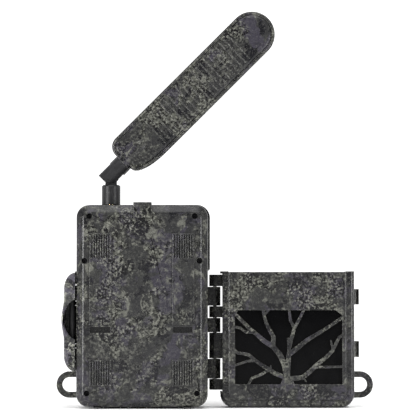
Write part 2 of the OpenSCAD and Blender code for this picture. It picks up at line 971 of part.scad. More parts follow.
module latch_lever() {
    color(camo)
        difference() {
            union() {
                plate_y(lever_back_y, lever_front_y)
                    difference() {
                        lever_outline();
                        lever_inside();
                    }
                plate_y(lever_back_y, lever_back_y + 2.2)
                    difference() {
                        lever_outline();
                        polygon([
                            for (a = [0:12:348])
                                [recess_x + recess_half * cos(a), recess_z + recess_rise * sin(a)]
                        ]);
                    }
                plate_y(lever_front_y - web_thick, lever_front_y)
                    intersection() {
                        lever_outline();
                        translate([lever_out - 4, web_low])
                            square([web_in - lever_out + 4, web_high - web_low]);
                    }
                for (span = arm_spans) {
                    along_z(lever_pivot_x, lever_pivot_y, span[0], span[1], 1.9);
                    box(lever_pivot_x - 1.9, lever_pivot_x + 1.9, lever_back_y + 1, lever_pivot_y, span[0], span[1]);
                }
                for (span = lug_spans) {
                    along_z(link_pivot_x, link_pivot_y, span[0], span[1], 2);
                    box(lever_out + 0.6, link_pivot_x, -2, link_pivot_y + 1, span[0], span[1]);
                    box(link_pivot_x - 2, link_pivot_x + 0.6, -2, link_pivot_y, span[0], span[1]);
                }
            }
            for (span = arm_spans)
                along_z(lever_pivot_x, lever_pivot_y, span[0] - 1, span[1] + 1, 1.02);
            for (span = lug_spans)
                along_z(link_pivot_x, link_pivot_y, span[0] - 1, span[1] + 1, 1.02);
            box(lever_out - 4, link_pivot_x - 4.3, lever_front_y, link_pivot_y + 4, 33, 89);
        }
}

module lever_pins() {
    color(steel)
        union() {
            along_z(lever_pivot_x, lever_pivot_y, ear_spans[0][0] + 0.3, arm_spans[0][1], 1);
            along_z(lever_pivot_x, lever_pivot_y, arm_spans[1][0], ear_spans[1][1] - 0.3, 1);
            along_z(link_pivot_x, link_pivot_y, link_low + 1, link_high - 1, 1);
        }
}

module latch_link() {
    color(dark)
        translate([link_pivot_x, link_pivot_y, 0])
            rotate([0, 0, link_rest_angle])
                difference() {
                    union() {
                        box(-0.8, 0.8, 0, 18.5, link_low, link_high);
                        along_z(0, 0, link_low, link_high, 2);
                        for (z = [[link_low, 34.6], [48.5, 51.5], [70.9, 73.9], [87.5, link_high]])
                            box(-2, 0.8, 18, link_reach, z[0], z[1]);
                        along_z(-1.2, link_reach, link_low, 51.5, 1.2);
                        along_z(-1.2, link_reach, 70.9, link_high, 1.2);
                    }
                    along_z(0, 0, link_low - 1, link_high + 1, 1.06);
                    for (span = lug_spans)
                        box(-4, 4, -4, 8, span[0] - 0.4, span[1] + 0.4);
                }
}

// antenna

module lean() {
    translate([antenna_x, antenna_y, pin_z])
        rotate([0, antenna_lean, 0])
            children();
}

module antenna_base() {
    color(dark)
        difference() {
            union() {
                translate([antenna_x, antenna_y, 0])
                    rotate_extrude()
                        polygon([
                            [0, base_low],
                            [antenna_r, base_low],
                            [antenna_r, base_top - 1],
                            [antenna_r - 1, base_top],
                            [0, base_top]
                        ]);
                box(
                    antenna_x - 4.35, antenna_x + 4.35,
                    antenna_y - tongue_half, antenna_y + tongue_half,
                    base_top - 1, pin_z
                );
                along_y(antenna_x, pin_z, antenna_y - tongue_half, antenna_y + tongue_half, 4.35);
            }
            along_y(antenna_x, pin_z, 20, 40, 1.56);
            along_z(antenna_x, antenna_y, base_low - 1, base_low + 9, 4.7);
        }
}

module antenna_coupler() {
    color(brass)
        difference() {
            along_z(antenna_x, antenna_y, base_low + 0.2, base_low + 8.9, 4.65);
            along_z(antenna_x, antenna_y, base_low - 1, base_low + 10, 3.4);
        }
}

module tilt_pin() {
    color(steel)
        along_y(antenna_x, pin_z, antenna_y - 5.6, antenna_y + 5.6, 1.5);
}

module antenna_sleeve() {
    color(dark)
        lean()
            difference() {
                union() {
                    intersection() {
                        along_z(0, 0, -7.1, 7, antenna_r);
                        union() {
                            box(-8, 0, -8, 8, -7.1, 8);
                            along_y(0, 0, -8, 8, 6.4);
                            box(-1, 6, -8, 8, 0, 8);
                        }
                    }
                    along_z(0, 0, 6.9, 12.75, antenna_r);
                    along_z(0, 0, 12, sleeve_end, antenna_r - 0.95);
                }
                box(-9, 9, -tongue_half - 0.35, tongue_half + 0.35, -9, 5.6);
                along_y(0, 0, -5.7, 5.7, 1.52);
            }
}

module paddle_outline(inset) {
    half = tip_r - inset;
    curve = 29;
    pts_right = [for (a = [0:9:90])
        [7.2 + (half - 7.2) * pow(cos(a), 0.92), 43 - (curve - inset) * pow(sin(a), 0.92)]];
    pts_left = [for (a = [0:10:90])
        [-half + (9 - inset) * (1 - sin(a)), 22 - (9 - inset) * cos(a)]];
    union() {
        polygon(concat(pts_right, pts_left, [[-half, 60], [half, 60]]));
        translate([-half, 50])
            square([2 * half, paddle_reach - tip_r - 50]);
        translate([0, paddle_reach - tip_r])
            circle(r = half);
    }
}

module paddle_half(side) {
    t = paddle_thick / 2;
    lean()
        difference() {
            union() {
                plate_y(side > 0 ? 0.05 : 2.5 - t, side > 0 ? t - 2.5 : -0.05)
                    paddle_outline(0);
                plate_y(side > 0 ? t - 2.6 : 1 - t, side > 0 ? t - 1 : 2.6 - t)
                    paddle_outline(0.9);
                plate_y(side > 0 ? t - 1.1 : -t, side > 0 ? t : 1.1 - t)
                    paddle_outline(2.4);
                intersection() {
                    box(-20, 20, side > 0 ? 0.05 : -20, side > 0 ? 20 : -0.05, 12.8, 41);
                    union() {
                        along_z(0, 0, 12.8, 30, antenna_r);
                        translate([0, 0, 30])
                            cylinder(r1 = antenna_r, r2 = 5, h = 11);
                    }
                }
                if (side < 0)
                    for (i = [0:21])
                        box(-12, 12, -t - 0.35, -t + 0.5, 46.3 + i * 4.3, 47 + i * 4.3);
            }
            difference() {
                plate_y(side > 0 ? -1 : 1.6 - t, side > 0 ? t - 1.6 : 1)
                    difference() {
                        paddle_outline(1.8);
                        translate([-30, 0])
                            square([60, sleeve_end + 2]);
                    }
                for (d = [38, 90, 142])
                    along_y(0, d, side > 0 ? 0.55 : -t, side > 0 ? t : -0.55, 1.6);
            }
            along_z(0, 0, 12, sleeve_end + 0.1, antenna_r - 0.9);
        }
}

module paddle_back() {
    color(camo)
        paddle_half(-1);
}

module paddle_front() {
    color(camo)
        paddle_half(1);
}

module antenna_element() {
    color(board)
        lean()
            box(-13, 13, -0.5, 0.5, 30, 150);
}

back_shell();
front_housing();
inner_panel();
battery_bay();
bay_contacts();
case_gasket();
feet();
tripod_insert();
rear_screws();
hinge_pin();
main_board();
modem_module();
sensor_board();
image_sensor();
lens_holder();
lens_barrel();
lens_elements();
lens_bezel();
lens_window();
pir_lens();
pir_sensor();
light_sensor();
status_lamp();
antenna_jack();
display_window();
display_module();
key_mat();
switch_body();
sd_reader();
sim_reader();
power_pins();
key_up();
key_down();
key_left();
key_right();
key_ok();
mode_switch();
sd_card();
sim_card();
battery_tray();
battery_cells();
cell_contacts();
door_shell();
lamp_window();
lamp_board();
infrared_lamps();
door_liner();
liner_screws();
door_gasket();
power_pads();
latch_lever();
lever_pins();
latch_link();
antenna_base();
antenna_coupler();
tilt_pin();
antenna_sleeve();
paddle_back();
paddle_front();
antenna_element();
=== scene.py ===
"""Trail camera seen from behind with its door folded open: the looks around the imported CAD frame."""
import json
import math

import bmesh
import bpy
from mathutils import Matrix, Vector

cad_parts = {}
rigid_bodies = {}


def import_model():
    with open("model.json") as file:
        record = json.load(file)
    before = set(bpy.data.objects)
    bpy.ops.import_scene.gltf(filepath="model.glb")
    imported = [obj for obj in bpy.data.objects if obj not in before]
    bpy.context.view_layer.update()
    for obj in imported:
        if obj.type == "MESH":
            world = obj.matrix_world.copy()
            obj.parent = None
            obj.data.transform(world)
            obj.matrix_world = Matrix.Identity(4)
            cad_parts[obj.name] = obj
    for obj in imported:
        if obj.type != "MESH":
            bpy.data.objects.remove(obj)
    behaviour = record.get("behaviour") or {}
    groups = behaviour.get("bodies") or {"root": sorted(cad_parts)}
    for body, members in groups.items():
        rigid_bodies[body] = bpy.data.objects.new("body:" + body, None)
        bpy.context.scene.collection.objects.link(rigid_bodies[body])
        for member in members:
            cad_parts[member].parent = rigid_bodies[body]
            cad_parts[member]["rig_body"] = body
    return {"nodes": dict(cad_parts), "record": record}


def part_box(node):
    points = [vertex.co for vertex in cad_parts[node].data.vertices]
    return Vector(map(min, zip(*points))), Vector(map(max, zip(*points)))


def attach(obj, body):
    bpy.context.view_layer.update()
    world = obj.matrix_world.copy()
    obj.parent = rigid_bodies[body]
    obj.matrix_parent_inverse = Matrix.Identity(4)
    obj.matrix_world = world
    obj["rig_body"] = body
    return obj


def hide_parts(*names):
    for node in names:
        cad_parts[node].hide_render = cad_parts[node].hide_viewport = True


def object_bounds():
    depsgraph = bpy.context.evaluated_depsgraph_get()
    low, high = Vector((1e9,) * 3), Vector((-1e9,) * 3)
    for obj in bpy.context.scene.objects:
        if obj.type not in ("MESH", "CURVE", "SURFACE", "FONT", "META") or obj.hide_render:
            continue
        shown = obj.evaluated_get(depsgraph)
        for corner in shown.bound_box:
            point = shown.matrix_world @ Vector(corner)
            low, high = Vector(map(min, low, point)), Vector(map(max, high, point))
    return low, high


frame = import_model()
CAD_LOW, CAD_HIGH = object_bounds()

# Places below are in millimetres, in the frame of the part's source.
MM = 0.001
SHELL_HALF = 48.4
SHELL_TOP = 148.4
SHELL_BACK = -21.0
SHELL_CORNER = 9.0
SHELL_BEVEL = 5.0
GROOVE_FLOOR = -21.2
DOOR_LEFT = 57.5
DOOR_RIGHT = 157.1
DOOR_FOOT = -1.4
DOOR_TOP = 99.2
DOOR_FACE = -7.0
DOOR_CORNER = 11.0
TAB_LOW = (-6.4, -22.0, 138.6)
TAB_HIGH = (7.1, -13.0, 150.4)
LEVER_BACK = -17.0
PADDLE_BACK = 24.5
PADDLE_FRONT = 35.5
CELL_PITCH = 15.6
SLIVER = 0.03

NODES = frame["nodes"]
BODY_OF = {n: o["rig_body"] for n, o in NODES.items()}
SLOT_OF = {p["node"]: p["material_slot"] for p in frame["record"]["subparts"]}


# ---------------------------------------------------------------- node trees

class Tree:
    """A material's node tree with short ways to add and join nodes."""

    def __init__(self, name):
        self.material = bpy.data.materials.new(name)
        self.material.use_nodes = True
        self.nodes = self.material.node_tree.nodes
        self.links = self.material.node_tree.links
        self.nodes.clear()
        self.out = self.nodes.new("ShaderNodeOutputMaterial")
        self.shader = self.nodes.new("ShaderNodeBsdfPrincipled")
        self.links.new(self.shader.outputs[0], self.out.inputs["Surface"])
        where = self.nodes.new("ShaderNodeTexCoord")
        self.mm = self.vector("MULTIPLY", where.outputs["Object"], (1000.0,) * 3)

    def put(self, socket, value):
        if isinstance(value, bpy.types.NodeSocket):
            self.links.new(value, socket)
        else:
            socket.default_value = value

    def set(self, **values):
        for name, value in values.items():
            self.put(self.shader.inputs[name.replace("_", " ")], value)

    def math(self, kind, a, b=0.0, c=0.0, clamp=False):
        n = self.nodes.new("ShaderNodeMath")
        n.operation = kind
        n.use_clamp = clamp
        for socket, value in zip(n.inputs, (a, b, c)):
            self.put(socket, value)
        return n.outputs[0]

    def vector(self, kind, a, b=(0.0, 0.0, 0.0)):
        n = self.nodes.new("ShaderNodeVectorMath")
        n.operation = kind
        self.put(n.inputs[0], a)
        self.put(n.inputs[1], b)
        return n.outputs["Value"] if kind in ("DOT_PRODUCT", "LENGTH") else n.outputs[0]

    def noise(self, size, detail=3.0, rough=0.55, shift=0.0, where=None, colour=False):
        """Noise whose largest features are about size millimetres across."""
        n = self.nodes.new("ShaderNodeTexNoise")
        place = self.mm if where is None else where
        if shift:
            place = self.vector("ADD", place, (shift, shift * 0.7, -shift * 0.4))
        self.put(n.inputs["Vector"], place)
        n.inputs["Scale"].default_value = 1.0 / size
        n.inputs["Detail"].default_value = detail
        n.inputs["Roughness"].default_value = rough
        return n.outputs["Color" if colour else "Fac"]

    def cells(self, size, where=None, feature="F1", out="Distance"):
        n = self.nodes.new("ShaderNodeTexVoronoi")
        n.feature = feature
        self.put(n.inputs["Vector"], self.mm if where is None else where)
        n.inputs["Scale"].default_value = 1.0 / size
        return n.outputs[out]

    def step(self, value, low, high, to_low=0.0, to_high=1.0):
        """Smooth step of value from low to high."""
        n = self.nodes.new("ShaderNodeMapRange")
        n.interpolation_type = "SMOOTHSTEP"
        self.put(n.inputs["Value"], value)
        for name, v in (
            ("From Min", low), ("From Max", high), ("To Min", to_low), ("To Max", to_high)
        ):
            n.inputs[name].default_value = v
        return n.outputs["Result"]

    def mix(self, share, a, b, kind="MIX"):
        n = self.nodes.new("ShaderNodeMix")
        n.data_type = "RGBA"
        n.blend_type = kind
        self.put(n.inputs["Factor"], share)
        self.put(n.inputs["A"], a)
        self.put(n.inputs["B"], b)
        return n.outputs["Result"]

    def edge(self, radius=0.35):
        """A mask that is 1 along convex edges and 0 on faces."""
        near = self.nodes.new("ShaderNodeBevel")
        near.samples = 4
        near.inputs["Radius"].default_value = radius * MM
        flat = self.nodes.new("ShaderNodeNewGeometry")
        same = self.vector("DOT_PRODUCT", near.outputs[0], flat.outputs["Normal"])
        return self.step(same, 0.995, 0.9)

    def recess(self, reach=2.0, low=0.45, high=0.88, most=0.92):
        """A mask of painted shade that darkens grooves, slots and inside corners, found by ambient
        occlusion.
        """
        near = self.nodes.new("ShaderNodeAmbientOcclusion")
        near.samples = 6
        near.inputs["Distance"].default_value = reach * MM
        return self.step(near.outputs["AO"], low, high, most, 0.0)

    def levels(self, bands):
        """A mask of the faces square to Y whose depth lies in one of the bands, in millimetres."""
        where = self.nodes.new("ShaderNodeTexCoord")
        facing = self.vector("DOT_PRODUCT", where.outputs["Normal"], (0.0, -1.0, 0.0))
        split = self.nodes.new("ShaderNodeSeparateXYZ")
        self.put(split.inputs[0], self.mm)
        mask = 0.0
        for low, high in bands:
            inside = self.math(
                "MULTIPLY", self.step(split.outputs["Y"], low, low + 0.02),
                self.step(split.outputs["Y"], high, high - 0.02),
            )
            mask = self.math("MAXIMUM", mask, inside)
        return self.math("MULTIPLY", mask, self.step(facing, 0.8, 0.95))

    def bump(self, height, strength=0.2, distance=0.1):
        n = self.nodes.new("ShaderNodeBump")
        n.inputs["Strength"].default_value = strength
        n.inputs["Distance"].default_value = distance * MM
        self.put(n.inputs["Height"], height)
        self.put(self.shader.inputs["Normal"], n.outputs["Normal"])


def rgb(r, g, b):
    return (r, g, b, 1.0)


def grey(v):
    return (v, v, v, 1.0)


def scaled(colour, k):
    return (colour[0] * k, colour[1] * k, colour[2] * k, 1.0)


def camo(name, tone=1.0, shift=0.0, wear=0.5, patches=0.85, rim=0.13, bare=()):
    """Film-transfer camouflage of ragged greys, lichen-like speckle, violet and pale blotches, with
    painted shade in its hollows and painted highlights on its edges.

    tone scales every ink, shift moves the pattern, patches is the strength of the dark blotches,
    rim is the tone of edges that are partly worn and partly painted highlight, and bare lists the depths
    of the floors facing back that are painted near-black as painted shade.
    """
    t = Tree(name)

    def ink(r, g, b):
        return rgb(r * tone, g * tone, b * tone)

    def spread(size, detail, rough, offset, reach):
        n = t.vector("SUBTRACT", t.noise(size, detail, rough, offset, colour=True), (0.5, 0.5, 0.5))
        return t.vector("MULTIPLY", n, (reach, reach, reach))

    place = t.vector("ADD", t.mm, spread(26, 2, 0.5, shift + 11, 26.0))
    place = t.vector("ADD", place, (shift, -shift, shift * 0.5))
    ragged = t.vector("ADD", place, spread(4.0, 4, 0.75, 31 + shift, 6.0))
    lichen = t.step(t.noise(30, 3, 0.6, 3, ragged), 0.47, 0.51)
    plain = t.step(t.noise(24, 3, 0.55, 57, ragged), 0.50, 0.52)
    dark = t.step(t.noise(15, 3, 0.6, 157, ragged), 0.550, 0.565)
    violet = t.step(t.noise(20, 2, 0.55, 93, ragged), 0.54, 0.56)
    pale = t.step(t.noise(11, 4, 0.7, 141, ragged), 0.57, 0.63)
    colour = t.mix(lichen, ink(0.024, 0.024, 0.024), ink(0.052, 0.053, 0.045))
    colour = t.mix(t.math("MULTIPLY", plain, 0.85), colour, ink(0.020, 0.020, 0.021))
    colour = t.mix(t.math("MULTIPLY", violet, 0.80), colour, ink(0.034, 0.031, 0.043))
    colour = t.mix(t.math("MULTIPLY", pale, 0.85), colour, ink(0.120, 0.121, 0.104))
    colour = t.mix(t.math("MULTIPLY", dark, patches), colour, ink(0.004, 0.004, 0.006))
    smooth = t.math("SUBTRACT", 1.0, t.math("MULTIPLY", plain, 0.75))
    much = t.math("MULTIPLY", t.step(lichen, 0.0, 1.0, 0.45, 1.0), smooth)
    grain = t.noise(1.7, 2, 0.7, 7 + shift)
    coarse = t.noise(4.6, 3, 0.7, 63 + shift)
    for value, low, high, share, paint in (
        (coarse, 0.54, 0.59, 0.60, ink(0.105, 0.107, 0.090)),
        (coarse, 0.47, 0.43, 0.90, ink(0.004, 0.004, 0.005)),
        (grain, 0.545, 0.615, 0.75, ink(0.180, 0.180, 0.155)),
        (grain, 0.47, 0.41, 0.95, ink(0.002, 0.002, 0.002)),
    ):
        part = t.math("MULTIPLY", t.math("MULTIPLY", t.step(value, low, high), much), share)
        colour = t.mix(part, colour, paint)
    fine = t.noise(0.45, 2, 0.6, 5)
    colour = t.mix(t.step(fine, 0.35, 0.7, 0.0, 0.08), colour, ink(0.055, 0.055, 0.052))
    # lighter edges: partly worn film, partly painted highlight along the edges
    if wear:
        patchy = t.step(t.noise(3, 3, 0.7, 17), 0.4, 0.65, 0.25, wear)
        worn = t.math("MULTIPLY", t.edge(0.5), patchy)
        colour = t.mix(worn, colour, ink(rim, rim, rim * 0.93))
    # painted shade: floors facing back at the listed depths are made near-black
    if bare:
        colour = t.mix(t.math("MULTIPLY", t.levels(bare), 0.9), colour, ink(0.003, 0.003, 0.003))
    # painted shade: the ambient-occlusion mask darkens grooves, slots and inside corners to near-black
    colour = t.mix(t.recess(2.2), colour, ink(0.004, 0.004, 0.004))
    t.set(Base_Color=colour, Specular_IOR_Level=0.27)
    t.set(Roughness=t.math("MULTIPLY_ADD", t.noise(2.2, 3, 0.6, 77), 0.14, 0.20))
    height = t.math("ADD", t.math("MULTIPLY", t.noise(0.35, 3, 0.6), 0.7), t.math("MULTIPLY", grain, 0.5))
    t.bump(height, 0.22, 0.05)
    return t.material


def moulded(name, colour, rough=0.45, spread=0.15, grain=0.3, grain_size=0.3, wear=0.35, spec=0.5,
            dust=0.12):
    """Moulded plastic or rubber: a fine spark-eroded grain, faint flow marks, dust and worn edges."""
    t = Tree(name)
    low, high = scaled(colour, 0.82), scaled(colour, 1.2)
    mottled = t.mix(t.step(t.noise(9, 4, 0.6), 0.35, 0.65), low, high)
    fine = t.noise(grain_size, 2, 0.6, 9)
    mottled = t.mix(t.step(fine, 0.5, 0.75, 0.0, 0.25), mottled, scaled(colour, 1.6))
    if dust:
        settled = t.math("MULTIPLY", t.step(t.noise(5, 5, 0.7, 41), 0.5, 0.75), dust)
        mottled = t.mix(settled, mottled, rgb(0.22, 0.21, 0.195))
    if wear:
        worn = t.math("MULTIPLY", t.edge(0.3), t.step(t.noise(2.2, 3, 0.7, 23), 0.4, 0.7, 0.1, wear))
        pale = scaled(colour, 2.2) if max(colour[:3]) < 0.3 else scaled(colour, 0.75)
        mottled = t.mix(worn, mottled, pale)
    t.set(Base_Color=mottled, Specular_IOR_Level=spec)
    t.set(Roughness=t.math("MULTIPLY_ADD", t.noise(3.1, 4, 0.65, 61), spread, rough - spread / 2))
    t.bump(fine, grain, 0.03)
    return t.material


def metal(name, colour, rough=0.28, brushed=(1.0, 1.0, 14.0), wear=0.5):
    """Turned or drawn metal with directional scratches and a few dull spots."""
    t = Tree(name)
    lines = t.noise(0.5, 3, 0.6, 3, t.vector("MULTIPLY", t.mm, brushed))
    dull = t.step(t.noise(2.4, 4, 0.7, 19), 0.5, 0.72)
    tint = t.mix(t.step(lines, 0.3, 0.7), scaled(colour, 0.8), scaled(colour, 1.12))
    tint = t.mix(t.math("MULTIPLY", dull, wear), tint, scaled(colour, 0.55))
    t.set(Base_Color=tint, Metallic=1.0)
    uneven = t.math("MULTIPLY_ADD", lines, 0.18, rough - 0.09)
    t.set(Roughness=t.math("MULTIPLY_ADD", dull, 0.2, uneven))
    t.bump(lines, 0.15, 0.02)
    return t.material


def glassy(name, colour, rough=0.06, spec=0.35, smears=0.1, coat=0.0):
    """Dark or clear hard plastic and glass with faint smears and dust specks."""
    t = Tree(name)
    speck = t.step(t.noise(0.7, 3, 0.8, 3), 0.66, 0.74)
    shade = t.mix(t.step(t.noise(14, 3, 0.6), 0.3, 0.7), scaled(colour, 0.8), scaled(colour, 1.25))
    shade = t.mix(t.math("MULTIPLY", speck, 0.1), shade, rgb(0.2, 0.2, 0.19))
    t.set(Base_Color=shade, Specular_IOR_Level=spec, Coat_Weight=coat)
    smear = t.step(t.noise(6, 5, 0.7, 29, t.vector("MULTIPLY", t.mm, (1.0, 1.0, 0.3))), 0.5, 0.7)
    t.set(Roughness=t.math("MULTIPLY_ADD", smear, smears, rough))
    t.bump(t.noise(8, 2, 0.5, 13), 0.05, 0.05)
    return t.material


def circuit(name):
    """Solder-masked board: traces, pads and a weave that shows through."""
    t = Tree(name)
    lanes = t.cells(2.6, feature="DISTANCE_TO_EDGE")
    trace = t.step(lanes, 0.05, 0.09, 1.0, 0.0)
    via = t.step(t.cells(3.4), 0.16, 0.12)
    colour = t.mix(t.step(t.noise(6, 3, 0.6), 0.3, 0.7), rgb(0.012, 0.05, 0.028), rgb(0.02, 0.075, 0.04))
    colour = t.mix(t.math("MULTIPLY", trace, 0.6), colour, rgb(0.04, 0.15, 0.075))
    colour = t.mix(via, colour, rgb(0.5, 0.38, 0.16))
    t.set(Base_Color=colour, Specular_IOR_Level=0.5)
    t.set(Roughness=t.math("MULTIPLY_ADD", t.noise(1.2, 3, 0.6), 0.2, 0.25))
    t.bump(t.math("ADD", trace, via), 0.3, 0.04)
    return t.material


def cell_sleeve(name):
    """Printed shrink sleeve of a dry cell, in plain bands of two colours, with its bare metal ends."""
    t = Tree(name)
    split = t.nodes.new("ShaderNodeSeparateXYZ")
    t.put(split.inputs[0], t.mm)
    row = t.math("MODULO", t.math("ADD", split.outputs["X"], 2 * CELL_PITCH), 2 * CELL_PITCH)
    turned = t.math("GREATER_THAN", row, CELL_PITCH)
    low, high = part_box("battery_cells")
    up = t.math("SUBTRACT", split.outputs["Z"], low.z / MM)
    down = t.math("SUBTRACT", high.z / MM, split.outputs["Z"])
    along = t.mix(turned, up, down)
    band = t.step(along, 34.5, 34.8)
    bare_top = t.step(along, 49.0, 49.2)
    bare_low = t.step(along, 1.0, 0.8)
    paint = t.mix(band, rgb(0.018, 0.019, 0.022), rgb(0.50, 0.24, 0.075))
    paint = t.mix(t.step(t.noise(1.5, 4, 0.7), 0.4, 0.75, 0.0, 0.2), paint, rgb(0.3, 0.27, 0.22))
    bare = t.math("ADD", bare_top, bare_low, clamp=True)
    t.set(Base_Color=t.mix(bare, paint, rgb(0.55, 0.55, 0.56)), Metallic=bare)
    t.set(Roughness=t.math("MULTIPLY_ADD", t.noise(2, 3, 0.6), 0.2, 0.2), Coat_Weight=0.2)
    t.bump(t.noise(1.1, 3, 0.6, 5), 0.1, 0.04)
    return t.material


MATERIALS = {
    "shell": camo("camo_film", 0.74),
    "dark_plastic": moulded(
        "charcoal_nylon", rgb(0.012, 0.012, 0.013), 0.42, wear=0.3, spec=0.3, dust=0.03
    ),
    "panel_plastic": moulded("panel_abs", rgb(0.040, 0.041, 0.043), 0.55, grain=0.45, grain_size=0.4),
    "rubber": moulded("seal_rubber", rgb(0.020, 0.020, 0.020), 0.75, grain=0.5, wear=0.2, spec=0.3),
    "steel": metal("plated_steel", rgb(0.56, 0.56, 0.55)),
    "black_screw": metal("blackened_steel", rgb(0.06, 0.06, 0.062), 0.4, wear=0.3),
    "brass": metal("nickelled_brass", rgb(0.72, 0.55, 0.28), 0.26),
    "board": circuit("solder_mask"),
    "chip": moulded("chip_package", rgb(0.022, 0.022, 0.024), 0.4, wear=0.1),
    "optic_black": moulded("optic_black", rgb(0.016, 0.016, 0.017), 0.38, grain=0.2, wear=0.3),
    "lens_glass": glassy("coated_lens", rgb(0.010, 0.012, 0.020), 0.03, 0.9, 0.05, 0.6),
    "lamp_window": glassy("infrared_filter", rgb(0.0012, 0.0012, 0.0014), 0.10, 0.06, 0.12),
    "lamp_body": glassy("lamp_epoxy", rgb(0.012, 0.012, 0.016), 0.12, 0.6, 0.1),
    "milky_plastic": moulded(
        "milky_polythene", rgb(0.52, 0.52, 0.50), 0.42, grain=0.1, wear=0.0, dust=0.05
    ),
    "display_glass": glassy("display_glass", rgb(0.008, 0.010, 0.011), 0.05, 0.5, 0.08, 0.3),
    "key_plastic": moulded("key_rubber", rgb(0.060, 0.061, 0.064), 0.6, grain=0.2),
    "card_plastic": moulded("card_plastic", rgb(0.020, 0.035, 0.085), 0.4, grain=0.15),
    "sim_plastic": moulded("sim_plastic", rgb(0.62, 0.62, 0.60), 0.4, grain=0.1, wear=0.0),
    "cell_jacket": cell_sleeve("cell_sleeve"),
    "indicator": glassy("indicator_lens", rgb(0.22, 0.015, 0.012), 0.15, 0.5, 0.1),
}
# the paddle's edges and ribs are lightened strongly: partly wear, partly painted highlight
PADDLE = camo("camo_paddle", 0.84, 60, 1.0, 0.95, 0.34)
# the lever's camo is made 1.5 times as light: painted light, standing for the light the lever catches
LEVER = camo("camo_lever", 1.5, 140, 0.8)
# the back's groove floors and the floors of its slots and wells are painted near-black: painted shade
RECESSED = camo(
    "camo_back", 0.78, bare=((GROOVE_FLOOR - 0.05, GROOVE_FLOOR + 0.05), (-20.6, -16.6))
)
# near-black steel for the rear screws and the lever pins; on the lever pins it is painted shade, keeping
# them dark in the gaps round the lever
DARK_SCREW = metal("near_black_steel", rgb(0.012, 0.012, 0.013), 0.5, wear=0.3)
MATERIAL_OF = {
    "paddle_back": PADDLE, "paddle_front": PADDLE, "latch_lever": LEVER, "back_shell": RECESSED,
    "rear_screws": DARK_SCREW, "lever_pins": DARK_SCREW,
}


# ---------------------------------------------------------------- meshes

def finish_mesh(mesh, sharp=32):
    """Smooth shading with sharp edges kept and wide flat faces kept flat."""
    mesh.shade_smooth()
    mesh.set_sharp_from_angle(angle=math.radians(sharp))


def piece(name, mesh, body, slot_name, material=None):
    """A visible piece that rides on a body."""
    o = bpy.data.objects.new(name, mesh)
    bpy.context.scene.collection.objects.link(o)
    o.data.materials.clear()
    o.data.materials.append(material or MATERIALS[slot_name])
    even = o.modifiers.new("even_normals", "WEIGHTED_NORMAL")
    even.keep_sharp = True
    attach(o, body)
    return o


def clean_mesh(node):
    """The node's own mesh with its doubled points joined and its flat faces simplified."""
    bm = bmesh.new()
    bm.from_mesh(NODES[node].data)
    bmesh.ops.remove_doubles(bm, verts=bm.verts, dist=2e-6)
    bmesh.ops.dissolve_limit(bm, angle_limit=math.radians(0.6), verts=bm.verts, edges=bm.edges)
    return bm


def wide_edges(bm, chosen, width, segments):
    """Rounds the chosen edges with a wide radius."""
    edges = [e for e in bm.edges if len(e.link_faces) == 2 and chosen(e)]
    bmesh.ops.bevel(
        bm, geom=edges, offset=width * MM, offset_type="OFFSET", segments=segments, profile=0.5,
        affect="EDGES", clamp_overlap=False, loop_slide=True,
    )


def sound(face):
    """False for a face thinner than a sliver, whose normal means nothing."""
    return 2 * face.calc_area() > SLIVER * MM * max(e.calc_length() for e in face.edges)


def small_edges(bm, width, segments, angle=30):
    """Rounds every edge sharper than the angle, after wide faces are split into triangles."""
    bmesh.ops.triangulate(bm, faces=[f for f in bm.faces if len(f.verts) > 4])
    edges = [
        e for e in bm.edges
        if len(e.link_faces) == 2 and e.calc_face_angle(0) > math.radians(angle)
        and all(sound(f) for f in e.link_faces)
    ]
    bmesh.ops.bevel(
        bm, geom=edges, offset=width * MM, offset_type="OFFSET", segments=segments, profile=0.5,
        affect="EDGES", clamp_overlap=False, loop_slide=True,
    )
    bmesh.ops.dissolve_degenerate(bm, dist=4e-6, edges=bm.edges)
    bmesh.ops.recalc_face_normals(bm, faces=bm.faces)


def cut(bm, cutter):
    """The mesh less the cutter's solid."""
    results = []
    for name, part in (("kept", bm), ("cutter", cutter)):
        mesh = bpy.data.meshes.new(name)
        part.to_mesh(mesh)
        part.free()
        o = bpy.data.objects.new(name, mesh)
        bpy.context.scene.collection.objects.link(o)
        results.append(o)
    kept, tool = results
    mod = kept.modifiers.new("cut", "BOOLEAN")
    mod.operation = "DIFFERENCE"
    mod.solver = "EXACT"
    mod.object = tool
    bpy.context.view_layer.update()
    done = bmesh.new()
    done.from_object(kept, bpy.context.evaluated_depsgraph_get())
    for o in results:
        mesh = o.data
        bpy.data.objects.remove(o)
        bpy.data.meshes.remove(mesh)
    bmesh.ops.remove_doubles(done, verts=done.verts, dist=2e-6)
    bmesh.ops.dissolve_limit(done, angle_limit=math.radians(0.3), verts=done.verts, edges=done.edges)
    return done


def refined(node, width=0.3, segments=2, angle=30, material=None, before=None):
    """The node's own shape with its moulded or machined edges rounded."""
    bm = clean_mesh(node)
    low = [min(v.co[i] for v in bm.verts) for i in range(3)]
    high = [max(v.co[i] for v in bm.verts) for i in range(3)]
    if before:
        bm = before(bm)
    small_edges(bm, width, segments, angle)
    for v in bm.verts:
        v.co = Vector([min(max(v.co[i], low[i]), high[i]) for i in range(3)])
    mesh = bpy.data.meshes.new(node + "_shape")
    bm.to_mesh(mesh)
    bm.free()
    finish_mesh(mesh)
    o = piece(node + "_skin", mesh, BODY_OF[node], SLOT_OF[node], material)
    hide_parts(node)
    return o


def arc(cx, cy, r, a0, a1, n=6):
    return [
        (cx + r * math.cos(math.radians(a0 + (a1 - a0) * i / n)),
         cy + r * math.sin(math.radians(a0 + (a1 - a0) * i / n)))
        for i in range(n + 1)
    ]


